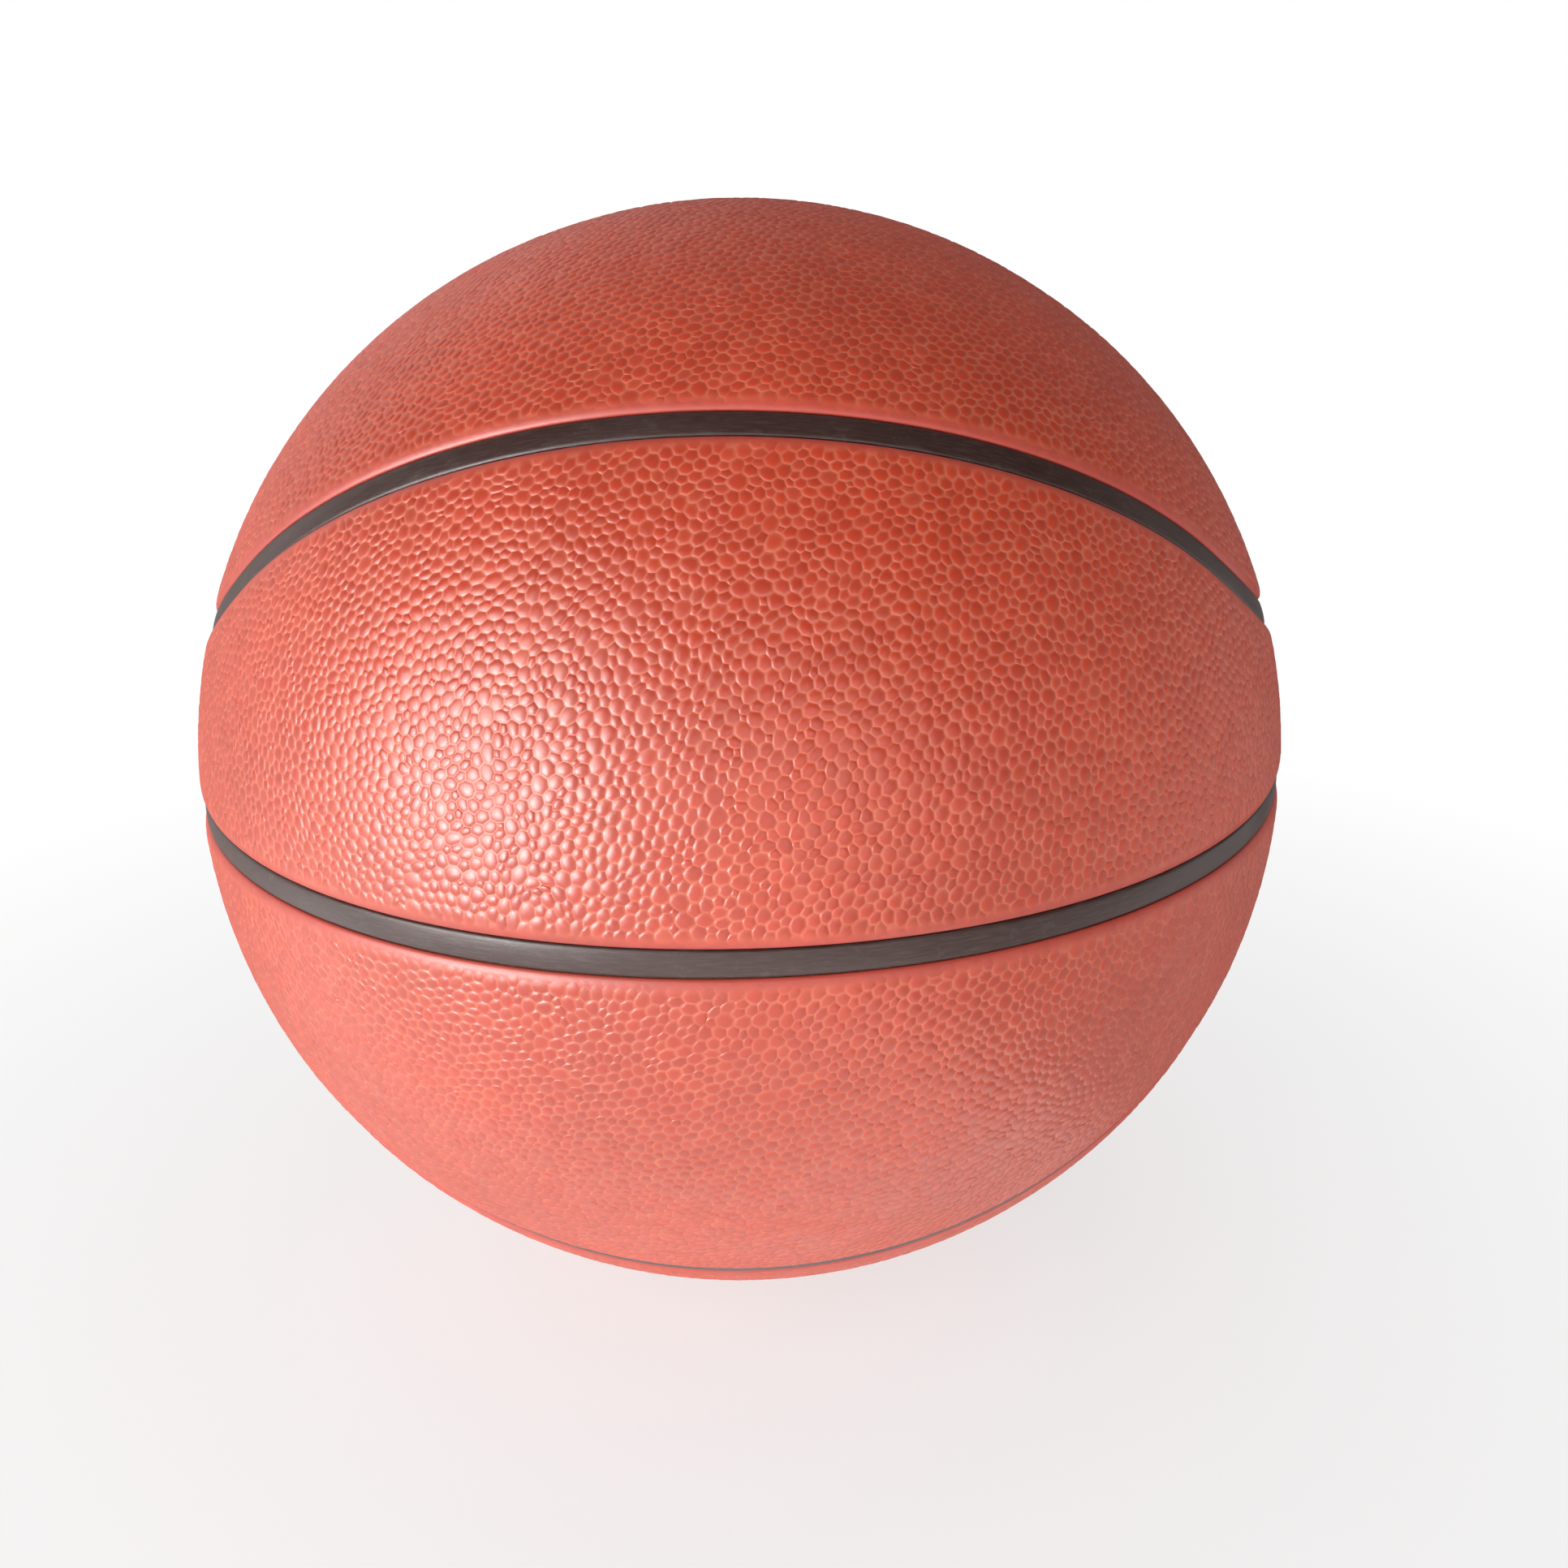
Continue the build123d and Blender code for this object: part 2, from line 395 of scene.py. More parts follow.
class Skin:
    """Gathers vertices, triangles and their texture places into one mesh."""

    def __init__(self):
        self.vertices, self.layers, self.faces, self.uv, self.count = [], [], [], [], 0

    def add(self, vertices, *layers):
        """Takes vertices with a value for each layer, and returns their numbers."""
        numbers = self.count + np.arange(len(vertices))
        self.vertices.append(vertices)
        self.layers.append(np.stack([np.broadcast_to(v, len(vertices)) for v in layers], axis=1))
        self.count += len(vertices)
        return numbers

    def face(self, triangles, uv):
        """Takes triangles with a texture place for each corner."""
        self.faces.append(triangles)
        self.uv.append(uv.reshape(-1, 3, 2))

    def reflect(self, mirror, since=(0, 0)):
        """Mirrors what came after a mark into its own place, and turns its faces the right way out."""
        self.vertices[since[0]:] = [v * mirror for v in self.vertices[since[0]:]]
        if mirror.prod() < 0:
            self.faces[since[1]:] = [f[:, ::-1] for f in self.faces[since[1]:]]
            self.uv[since[1]:] = [u[:, ::-1] for u in self.uv[since[1]:]]

    def mark(self):
        """Where the next vertices and faces will go."""
        return len(self.vertices), len(self.faces)

    def mesh(self, name, labels):
        """The finished object."""
        layers = zip(labels, np.concatenate(self.layers).T)
        uv = np.concatenate(self.uv)
        return new_mesh(name, np.concatenate(self.vertices), np.concatenate(self.faces), uv, layers)


def crease(thing, layer, value):
    """Keeps the shading sharp along the edges whose two ends have a value in a layer."""
    mesh = thing.data
    values = np.empty(len(mesh.vertices), np.float32)
    mesh.attributes[layer].data.foreach_get("value", values)
    ends = np.empty(len(mesh.edges) * 2, np.int32)
    mesh.edges.foreach_get("vertices", ends)
    sharp = (values[ends.reshape(-1, 2)] == value).all(1)
    mesh.attributes.new("sharp_edge", "BOOLEAN", "EDGE").data.foreach_set("value", sharp)


def relax(points, corners, fixed, share):
    """Moves each free point a share of the way to the mean of its neighbours."""
    total = np.zeros_like(points)
    count = np.zeros(len(points))
    for here, there in ((0, 1), (1, 2), (2, 0), (1, 0), (2, 1), (0, 2)):
        np.add.at(total, corners[:, here], points[corners[:, there]])
        np.add.at(count, corners[:, here], 1)
    moved = unit(points + share * (total / np.maximum(count, 1)[:, None] - points))
    return np.where((np.arange(len(points)) < fixed)[:, None], points, moved)


# Where a pebble's rings lie on the way from its top to the valley's corners
RINGS = (0.62, 0.88)


def grain_cells(points, corners):
    """Turns a triangle net of pebbles into their domes. Each triangle's middle is a corner of the valleys;
    rings of vertices lie at fixed shares of the way from a pebble to those corners. Returns directions, each
    vertex's share of that way, the pebble that it belongs to, and triangles."""
    count, faces = len(points), len(corners)
    middles = unit(points[corners].mean(1))
    rings = [unit((1 - r) * points[corners] + r * middles[:, None]).reshape(-1, 3) for r in RINGS]
    vertices = np.concatenate([points, *rings, middles])
    share = np.concatenate([np.zeros(count), np.repeat(RINGS, faces * 3), np.ones(faces)])
    owner = np.concatenate([np.arange(count), *[corners.ravel()] * len(RINGS), np.full(faces, -1)])
    here = np.arange(faces * 3)
    beside = np.roll(here.reshape(faces, 3), -1, axis=1).ravel()
    starts, ends = corners.ravel(), np.roll(corners, -1, axis=1).ravel()
    key, back = starts * count + ends, ends * count + starts
    order = np.argsort(key)
    twin = order[np.minimum(np.searchsorted(key, back, sorter=order), len(key) - 1)]
    paired = key[twin] == back
    ring_starts = [count + faces * 3 * k for k in range(len(RINGS))]
    valley = count + faces * 3 * len(RINGS) + here // 3

    def levels(pebble, spot, edge):
        """Vertex numbers on the way from a pebble to the valley's corner, past a spot on each ring."""
        return [pebble, *(start + spot for start in ring_starts), valley[edge]]

    own, other = here[paired], twin[paired]
    near = levels(starts[own], own, own)
    far = levels(starts[own], beside[other], other)
    tris = [np.stack([near[0], far[1], near[1]], axis=1)]
    for k in range(1, len(RINGS) + 1):
        tris.append(np.stack([far[k], far[k + 1], near[k + 1]], axis=1))
        tris.append(np.stack([far[k], near[k + 1], near[k]], axis=1))
    rim = here[~paired]
    left, right = levels(starts[rim], rim, rim), levels(ends[rim], beside[rim], rim)
    for k in range(len(RINGS)):
        tris.append(np.stack([left[k], right[k], right[k + 1]], axis=1))
        tris.append(np.stack([left[k], right[k + 1], left[k + 1]], axis=1))
    tris.append(np.stack([left[-2], right[-2], left[-1]], axis=1))
    return vertices, share, owner, np.concatenate(tris)


def strip(inner_row, outer_row):
    """Triangles between two closed rows of vertex numbers, the outer one on the right of the way round."""
    inner_next, outer_next = np.roll(inner_row, -1), np.roll(outer_row, -1)
    first = np.stack([inner_row, outer_row, outer_next], axis=1)
    return np.concatenate([first, np.stack([inner_row, outer_next, inner_next], axis=1)])


def strip_map(count, inner_level, outer_level):
    """Texture places for a strip's corners: along the row from 0 to 1, and across it between two levels."""
    here = np.arange(count) / count
    after = here + 1 / count
    low, high = np.full(count, inner_level), np.full(count, outer_level)
    first = np.stack([here, low, here, high, after, high], axis=1)
    return np.concatenate([first, np.stack([here, low, after, high, after, low], axis=1)])


def smooth_step(low, high, value):
    """0 below low, 1 above high, and a smooth cubic between them."""
    share = np.clip((value - low) / (high - low), 0, 1)
    return share * share * (3 - 2 * share)


def roll(distance, width, drop):
    """Fall of a rolled edge: a quarter ellipse, the drop at the edge and nothing at its width."""
    share = np.clip(1 - distance / width, 0, 1)
    return drop * (1 - np.sqrt(1 - share * share))


def new_mesh(name, vertices, triangles, uv=None, layers=()):
    """A smooth mesh object from whole arrays, at the origin."""
    mesh = bpy.data.meshes.new(name)
    mesh.vertices.add(len(vertices))
    mesh.vertices.foreach_set("co", vertices.astype(np.float32).ravel())
    mesh.loops.add(triangles.size)
    mesh.loops.foreach_set("vertex_index", triangles.astype(np.int32).ravel())
    mesh.polygons.add(len(triangles))
    mesh.polygons.foreach_set("loop_start", np.arange(0, triangles.size, 3, dtype=np.int32))
    if uv is not None:
        mesh.uv_layers.new(name=UV_MAP).data.foreach_set("uv", uv.astype(np.float32).ravel())
    for label, values in layers:
        mesh.attributes.new(label, "FLOAT", "POINT").data.foreach_set("value", values.astype(np.float32))
    mesh.update(calc_edges=True)
    mesh.shade_smooth()
    thing = bpy.data.objects.new(name, mesh)
    bpy.context.scene.collection.objects.link(thing)
    return thing


def area_map(points, elevation, scale, middle):
    """Flat places on a texture map: sideways the angle from the middle plane, and upwards the angle round X
    times its cosine, so that areas stay true."""
    side = np.arcsin(np.clip(points[:, 0], -1, 1))
    round_x = np.arctan2(points[:, 2], -points[:, 1]) - elevation
    return np.asarray(middle) + scale / math.pi * np.stack([side, round_x * np.cos(side)], axis=1)


# A panel on its texture map, its edge rows, and the net of its underside
MAP_SCALE = 0.98
TOP_MIDDLE = (0.5, 0.25)
UNDER_MIDDLE = (0.5, 0.70)
EDGE_START = 0.0005
EDGE_ROWS = 5
UNDER_SPACING = 0.009

# The grain: a pebble's room from the edge, as a share of the pitch, the lowest pebble's share of the depth,
# and how a pebble falls
RELAX_ROUNDS = 1
PEBBLE_MARGIN = 0.55
LEAST_LIFT = 0.7
DOME_POWER = 5.0
DOME_END = 0.97

# Relief, tone and grain of a smooth face
PLAIN = (0.0, 0.5, 0.0)


def pebbled_top(skin, area, pebbles, rng, look):
    """A panel's domed face. A pebble falls from its top to the valley by the dome power of the share of the way
    to its end. Returns the directions, the triangles and the vertex numbers of the edge rows."""
    own = area.own(pebbles * area.mirror, EDGE_START + look.pitch * PEBBLE_MARGIN)
    rows = area.rims(EDGE_START)
    fixed = sum(len(r) for r in rows)
    points, corners = area.net(own, rows, RELAX_ROUNDS)
    directions, share, owner, tris = grain_cells(points, corners)
    distance = area.inside(directions)
    tone = np.append(rng.uniform(0, 1, len(points)), PLAIN[1])[owner]
    lift = np.append(rng.uniform(LEAST_LIFT, 1.0, len(points)), 0.0)[owner]
    fade = smooth_step(EDGE_START, look.fade_width, distance)
    fall = np.minimum(share / DOME_END, 1) ** DOME_POWER
    dome = np.where(owner >= fixed, lift * (1 - fall), 0) * fade
    height = BALL_RADIUS - roll(distance, look.roll_width, look.roll_drop) - look.depth * (fade - dome)
    top = skin.add(directions * height[:, None], dome, tone, fade)
    return directions, tris, np.split(top[:fixed], np.cumsum([len(r) for r in rows])[:-1])


def cover_panel(area, pebbles, rng, look):
    """One pebbled panel as a closed shell: domed grain on top, a rolled edge, side walls and an underside."""
    skin = Skin()
    directions, top_tris, row_ids = pebbled_top(skin, area, pebbles, rng, look)
    places, tris, bottom_rows = [directions], [top_tris], []
    for rim, row in enumerate(row_ids):
        for step in np.linspace(1, 0, EDGE_ROWS + 1)[1:]:
            inset = EDGE_START * step * step
            edge = area.rims(inset)[rim]
            below = skin.add(edge * (BALL_RADIUS - roll(inset, look.roll_width, look.roll_drop)), *PLAIN)
            places.append(edge)
            tris.append(strip(row, below))
            row = below
        bottom_rows.append(skin.add(area.rims(0.0)[rim] * PANEL_UNDER, *PLAIN))
        places.append(area.rims(-EDGE_START)[rim])
        tris.append(strip(row, bottom_rows[-1]))
    tris = np.concatenate(tris)
    places = area_map(np.concatenate(places), area.elevation, MAP_SCALE, TOP_MIDDLE)
    skin.face(tris, places[tris])
    close_under(skin, area, bottom_rows, area.rims(0.0), PANEL_UNDER, PLAIN)
    skin.reflect(area.mirror)
    return skin


def close_under(skin, area, row_ids, rows, radius, values, scale=MAP_SCALE, middle=UNDER_MIDDLE, flip=True):
    """A plain coarse face inside some rows, at one distance from the centre."""
    coarse = area.own(spread_points(UNDER_SPACING, 0.0, None), UNDER_SPACING / 2)
    points, corners = area.net(coarse, rows)
    fixed = sum(len(r) for r in rows)
    numbers = np.concatenate([*row_ids, skin.add(points[fixed:] * radius, *values)])
    places = area_map(points, area.elevation, scale, middle)
    corners = corners[:, ::-1] if flip else corners
    skin.face(numbers[corners], places[corners])


# A rib: where its rows lie, as shares of half its width, and the radius of its edge. The layer "across" holds
# those shares, and one value more for all that isn't rib.
RIB_STEPS = (0.0, 0.3, 0.55, 0.74, 0.86, 0.93, 0.975, 1.0)
RIB_EDGE = 0.0006
OFF_RIB = 1.2

# The carcass on its texture map: for each cell two bands, for its ribs and its walls, then the valve's hole,
# and above them a tile for each bed
BAND_HEIGHT = 0.055
CELL_BANDS = 2
BED_WALL = (1.7, 1.0)
SIDE_WALL = (1.75, 1.9)
HOLE_WALL = (0.885, 0.895)
TILE_SCALE = 0.15
TILE_COLUMNS = 4
FIRST_TILE = (0.1, 0.92)
TILE_STEP = (0.2, 0.05)


def rib_height(inset, half, crown):
    """Height of a rib: a parabola over its width, and a quarter circle down at its edge."""
    past = max(0.0, inset - (half - RIB_EDGE))
    fall = RIB_EDGE - math.sqrt(max(0.0, RIB_EDGE * RIB_EDGE - past * past))
    return RIB_RADIUS + crown * (1 - (inset / half) ** 2) - fall


def tile_middle(tile):
    """The middle of a cell's tile on the texture map."""
    row, column = divmod(tile, TILE_COLUMNS)
    return FIRST_TILE[0] + TILE_STEP[0] * column, FIRST_TILE[1] + TILE_STEP[1] * row


def carcass_cell(skin, area, tile, look):
    """The carcass under one panel, as a closed solid: half of each rib round it, the bed, the inside and the
    walls to the next cells. A cell's ribs lie in a band of the texture map, and its bed above the bands."""
    start = skin.mark()
    level = tile * CELL_BANDS * BAND_HEIGHT
    steps = [s * area.half for s in RIB_STEPS]
    rows, holes = [area.outer(s) for s in steps], area.holes(0.0)

    def band(inner, outer):
        """Texture places of a strip between two heights of this cell, counted in bands."""
        return strip_map(len(rows[0]), level + inner * BAND_HEIGHT, level + outer * BAND_HEIGHT)

    ids = [skin.add(r * rib_height(s, area.half, look.rib_crown), s / area.half) for r, s in zip(rows, steps)]
    for outer, inner, a, b in zip(ids, ids[1:], RIB_STEPS, RIB_STEPS[1:]):
        skin.face(strip(inner, outer), band(b, a))
    bed = skin.add(rows[-1] * BED_RADIUS, OFF_RIB)
    skin.face(strip(bed, ids[-1]), band(*BED_WALL))
    foot = skin.add(rows[0] * CARCASS_INNER, OFF_RIB)
    skin.face(strip(ids[0], foot), band(*SIDE_WALL))
    upper_holes = [skin.add(h * BED_RADIUS, OFF_RIB) for h in holes]
    lower_holes = [skin.add(h * CARCASS_INNER, OFF_RIB) for h in holes]
    for upper, lower in zip(upper_holes, lower_holes):
        skin.face(strip(upper, lower), strip_map(len(upper), *HOLE_WALL))
    chart = (OFF_RIB,), TILE_SCALE, tile_middle(tile)
    close_under(skin, area, [bed, *upper_holes], [rows[-1], *holes], BED_RADIUS, *chart, flip=False)
    close_under(skin, area, [foot, *lower_holes], [rows[0], *holes], CARCASS_INNER, *chart)
    skin.reflect(area.mirror, start)


# Second colours of the finishes
WHITE = (1.0, 1.0, 1.0, 1.0)
EDGE_TINT = (0.50, 0.056, 0.038, 1.0)
# Pale colour of the ribs' dust and scuffs, which along their streaks also paints a sheen
RIB_DUST_AND_SHEEN = (0.135, 0.105, 0.097, 1.0)
VALVE_BLOOM = (0.11, 0.105, 0.10, 1.0)
FOAM = (0.72, 0.68, 0.58, 1.0)
FOAM_PORE = (0.50, 0.45, 0.36, 1.0)
FOAM_AGED = (0.66, 0.58, 0.44, 1.0)
YARN = (0.80, 0.77, 0.69, 1.0)
YARN_GAP = (0.30, 0.27, 0.21, 1.0)
BLADDER_BLACK = (0.022, 0.022, 0.024, 1.0)
TALC = (0.35, 0.34, 0.33, 1.0)

# Where a surface counts as seen at a low angle: from here on, and fully from there
LOW_ANGLE = (0.48, 0.85)


class Nodes:
    """A short way to write nodes: each call adds one, sets or links its inputs and returns its result."""

    def __init__(self, owner):
        owner.use_nodes = True
        self.owner, self.tree = owner, owner.node_tree
        self.tree.nodes.clear()

    def add(self, kind, settings=(), **inputs):
        """A node with its settings and its inputs, by name or, after a low line, by number."""
        node = self.tree.nodes.new(kind)
        for key, value in dict(settings).items():
            setattr(node, key, value)
        for key, value in inputs.items():
            self.put(node, key, value)
        return node

    def put(self, node, key, value):
        """Links an input to another node's output, or sets its value."""
        socket = node.inputs[int(key[1:])] if key[0] == "_" else node.inputs[key.replace("_", " ")]
        if isinstance(value, bpy.types.NodeSocket):
            self.tree.links.new(value, socket)
        else:
            socket.default_value = value

    def layer(self, name):
        """A value that the mesh carries at its vertices."""
        return self.add("ShaderNodeAttribute", {"attribute_name": name}).outputs["Fac"]

    def noise(self, place, scale, detail=2.0, roughness=0.5):
        """Soft uneven spots, so many to the metre."""
        node = self.add("ShaderNodeTexNoise", Vector=place, Scale=scale, Detail=detail, Roughness=roughness)
        return node.outputs["Fac"]

    def spread(self, value, span, to):
        """A value stretched from one span to another, and held at its ends."""
        node = self.add("ShaderNodeMapRange", _0=value, _1=span[0], _2=span[1], _3=to[0], _4=to[1])
        return node.outputs["Result"]

    def math(self, operation, first, second):
        """A sum, product or other operation on two values."""
        return self.add("ShaderNodeMath", {"operation": operation}, _0=first, _1=second).outputs[0]

    def mix(self, share, first, second, blend="MIX"):
        """The first colour with a share of the second over it."""
        settings = {"data_type": "RGBA", "blend_type": blend}
        return self.add("ShaderNodeMix", settings, _0=share, _6=first, _7=second).outputs[2]

    def dulled(self, roughness, most):
        """A roughness that rises by at most so much where the surface is seen at a low angle."""
        facing = self.add("ShaderNodeLayerWeight", Blend=0.5).outputs["Facing"]
        return self.math("ADD", roughness, self.spread(facing, LOW_ANGLE, (0.0, most)))

    def bump(self, height, strength, distance):
        """The surface's direction, tilted by a fine relief."""
        node = self.add("ShaderNodeBump", Strength=strength, Distance=distance, Height=height)
        return node.outputs["Normal"]

    def surface(self, colour, roughness, normal=None, **values):
        """A surface of one colour and roughness."""
        node = self.add("ShaderNodeBsdfPrincipled", Base_Color=colour, Roughness=roughness)
        if normal is not None:
            self.put(node, "Normal", normal)
        for key, value in values.items():
            self.put(node, key, value)
        return node.outputs["BSDF"]

    def shader(self, *arguments, **values):
        """The whole material from one surface."""
        return self.finish(self.surface(*arguments, **values))

    def finish(self, surface, kind="ShaderNodeOutputMaterial"):
        """Gives the surface to the material or the world, and returns that."""
        self.add(kind, Surface=surface)
        return self.owner


def new_material(name):
    """The nodes of a new material, and the place on its object in metres."""
    nodes = Nodes(bpy.data.materials.new(name))
    return nodes, nodes.add("ShaderNodeTexCoord").outputs["Object"]


def rgba(colour):
    """A colour property with full opacity."""
    return (*colour, 1.0)


def pebbled_leather(look):
    """Composite leather: deeper colour on the pebbles, paler valleys, uneven dye, and a fine wrinkle. The paler
    valleys are partly the leather's own tone and partly a painted highlight of light caught on the pebbles'
    flanks.
    """
    n, place = new_material("pebbled_leather")
    relief, tone, grain = n.layer("relief"), n.layer("tone"), n.layer("grain")
    top, valley = rgba(look.top_colour), rgba(look.valley_tone_and_glint_colour)
    raised = n.spread(relief, (0.07, 0.78), (0.0, 1.0))
    # Where the paler valley colour goes: the leather's own tone and a painted highlight of the flanks' light
    valley_and_glint_share = n.math("MULTIPLY", n.math("SUBTRACT", 1.0, raised), n.spread(grain, (0.0, 1.0), (0.25, 1.0)))
    patch = n.noise(place, scale=230.0, detail=2.0, roughness=0.6)
    valley_and_glint_share = n.math("MULTIPLY", valley_and_glint_share, n.spread(patch, (0.35, 0.65), (0.5, 1.0)))
    colour = n.mix(valley_and_glint_share, top, valley)
    colour = n.mix(n.spread(grain, (0.0, 0.6), (0.7, 0.0)), colour, EDGE_TINT)
    dye = n.noise(place, scale=16.0, detail=4.0, roughness=0.55)
    pale = n.spread(dye, (0.35, 0.65), (0.92, 1.08))
    each = n.spread(tone, (0.0, 1.0), (0.93, 1.07))
    level = n.math("MULTIPLY", pale, each)
    shade = n.add("ShaderNodeCombineColor", Red=level, Green=level, Blue=level).outputs["Color"]
    colour = n.mix(1.0, colour, shade, "MULTIPLY")
    wrinkle = n.noise(place, scale=2600.0, detail=3.0, roughness=0.6)
    wear = n.noise(place, scale=60.0, detail=3.0, roughness=0.6)
    worn = n.spread(wear, (0.3, 0.7), (-0.03, 0.04))
    roughness = n.math("ADD", n.spread(relief, (0.0, 1.0), (0.44, 0.29)), worn)
    normal = n.bump(wrinkle, strength=0.22, distance=0.00006)
    return n.shader(colour, n.dulled(roughness, most=0.40), normal, Specular_IOR_Level=0.65)


def rib_rubber(look):
    """Moulded black rubber with a dull sheen, drawn streaks along the ribs, scuffs and faint dust. The pale
    colour along the streaks is partly a painted sheen.
    """
    n, place = new_material("rib_rubber")
    strip_place = n.add("ShaderNodeUVMap", {"uv_map": UV_MAP}).outputs["UV"]
    along = n.add("ShaderNodeMapping", Vector=strip_place, Scale=(170.0, 190.0, 1.0)).outputs["Vector"]
    streak = n.noise(along, scale=1.0, detail=3.0, roughness=0.6)
    dust = n.noise(place, scale=45.0, detail=4.0, roughness=0.6)
    scuff = n.noise(place, scale=260.0, detail=3.0, roughness=0.65)
    skin = n.noise(place, scale=1500.0, detail=2.0, roughness=0.6)
    dusty = n.spread(dust, (0.45, 0.75), (0.0, 0.10))
    scuffed = n.spread(scuff, (0.60, 0.78), (0.0, 0.30))
    # Pale streaks along the ribs: drawn marks, and partly a painted sheen
    streak_and_sheen = n.spread(streak, (0.48, 0.75), (0.0, 0.34))
    share = n.math("ADD", n.math("ADD", dusty, scuffed), streak_and_sheen)
    colour = n.mix(share, rgba(look.rib_colour), RIB_DUST_AND_SHEEN)
    drawn = n.spread(streak, (0.3, 0.7), (-0.05, 0.07))
    roughness = n.math("ADD", n.spread(dust, (0.3, 0.7), (0.31, 0.41)), drawn)
    height = n.math("ADD", streak, n.math("MULTIPLY", skin, 0.35))
    normal = n.bump(height, strength=0.30, distance=0.00012)
    return n.shader(colour, n.dulled(roughness, most=0.35), normal, Specular_IOR_Level=0.45)


def valve_rubber(name, look, lighter):
    """Smooth soft rubber with a faint bloom."""
    n, place = new_material(name)
    bloom = n.noise(place, scale=350.0, detail=3.0, roughness=0.55)
    base = rgba(tuple(c * lighter for c in look.valve_colour))
    colour = n.mix(n.spread(bloom, (0.4, 0.7), (0.0, 0.25)), base, VALVE_BLOOM)
    roughness = n.spread(bloom, (0.3, 0.7), (0.42, 0.58))
    return n.shader(colour, roughness, n.bump(bloom, strength=0.15, distance=0.00005))


def backing_foam():
    """Open-celled foam: pale, with small dark pores."""
    n, place = new_material("backing_foam")
    pores = n.add("ShaderNodeTexVoronoi", Vector=place, Scale=1400.0).outputs["Distance"]
    tint = n.noise(place, scale=30.0, detail=3.0, roughness=0.5)
    open_cell = n.spread(pores, (0.0, 0.5), (1.0, 0.0))
    colour = n.mix(open_cell, FOAM, FOAM_PORE)
    colour = n.mix(n.spread(tint, (0.3, 0.7), (0.0, 0.3)), colour, FOAM_AGED)
    return n.shader(colour, roughness=0.92, normal=n.bump(pores, strength=0.5, distance=0.0002))


# How each layer of the winding is turned, about X, Y and Z
WINDING_TURNS = ((0.3, 0.5, 0.2), (1.4, 0.2, 0.9), (0.8, 1.3, 1.9))


def winding_thread():
    """Thread wound in many directions: crossing fine stripes of pale yarn with dark gaps."""
    n, place = new_material("winding_thread")
    stripes = None
    for turn in WINDING_TURNS:
        turned = n.add("ShaderNodeMapping", Vector=place, Rotation=turn).outputs["Vector"]
        band = n.add("ShaderNodeTexWave", Vector=turned, Scale=420.0, Distortion=0.6, Detail=1.0).outputs["Fac"]
        stripes = band if stripes is None else n.math("MAXIMUM", stripes, band)
    colour = n.mix(stripes, YARN_GAP, YARN)
    return n.shader(colour, roughness=0.75, normal=n.bump(stripes, strength=0.6, distance=0.0003))


def bladder_rubber():
    """Thin black bladder rubber, talc dusted."""
    n, place = new_material("bladder_rubber")
    talc = n.noise(place, scale=70.0, detail=5.0, roughness=0.65)
    colour = n.mix(n.spread(talc, (0.5, 0.8), (0.0, 0.4)), BLADDER_BLACK, TALC)
    roughness = n.spread(talc, (0.3, 0.7), (0.45, 0.7))
    return n.shader(colour, roughness, n.bump(talc, strength=0.1, distance=0.0001))


def dress(node, material):
    """Gives a built node one material all over."""
    slots = frame["nodes"][node].data.materials
    slots.clear()
    slots.append(material)


class BALL_OT_cover_panels(bpy.types.Operator):
    """Makes the eight pebbled cover panels"""

    bl_idname = "ball.cover_panels"
    bl_label = "Cover panels"

    def execute(self, context):
        seams, look = context.scene.ball_seams, context.scene.ball_cover
        rng = np.random.default_rng(look.seed)
        pebbles = spread_points(look.pitch, look.jitter, rng)
        leather = pebbled_leather(look)
        for kind, quarter in PANELS:
            area = Quarter(kind, quarter, seams, look.pitch / 2, look.valve_hole)
            skin = cover_panel(area, pebbles, rng, look)
            panel = skin.mesh(f"pebbled_{kind}_panel_{quarter}", ("relief", "tone", "grain"))
            panel.data.materials.append(leather)
            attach(panel, "ball")
            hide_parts(f"{kind}_panel_{quarter}")
        return {"FINISHED"}


class BALL_OT_carcass(bpy.types.Operator):
    """Makes the carcass, whose ribs show in the seams"""

    bl_idname = "ball.carcass"
    bl_label = "Carcass and ribs"

    def execute(self, context):
        seams, cover, look = context.scene.ball_seams, context.scene.ball_cover, context.scene.ball_rubber
        skin = Skin()
        for tile, (kind, quarter) in enumerate(PANELS):
            area = Quarter(kind, quarter, seams, cover.pitch / 2, cover.valve_hole)
            carcass_cell(skin, area, tile, look)
        carcass = skin.mesh("moulded_carcass", ("across",))
        crease(carcass, "across", 0.0)
        carcass.data.materials.append(rib_rubber(look))
        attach(carcass, "ball")
        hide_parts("carcass")
        return {"FINISHED"}


class BALL_OT_inner_layers(bpy.types.Operator):
    """Finishes the foam, the thread winding and the bladder"""

    bl_idname = "ball.inner_layers"
    bl_label = "Inner layers"

    def execute(self, context):
        foam = backing_foam()
        for kind, quarter in PANELS:
            dress(f"{kind}_foam_{quarter}", foam)
        dress("thread_winding", winding_thread())
        dress("bladder", bladder_rubber())
        return {"FINISHED"}


class BALL_OT_valve(bpy.types.Operator):
    """Finishes the valve's boot and core"""

    bl_idname = "ball.valve"
    bl_label = "Valve"

    def execute(self, context):
        look = context.scene.ball_rubber
        dress("valve_boot", valve_rubber("boot_rubber", look, lighter=1.0))
        dress("valve_core", valve_rubber("core_rubber", look, lighter=1.3))
        return {"FINISHED"}


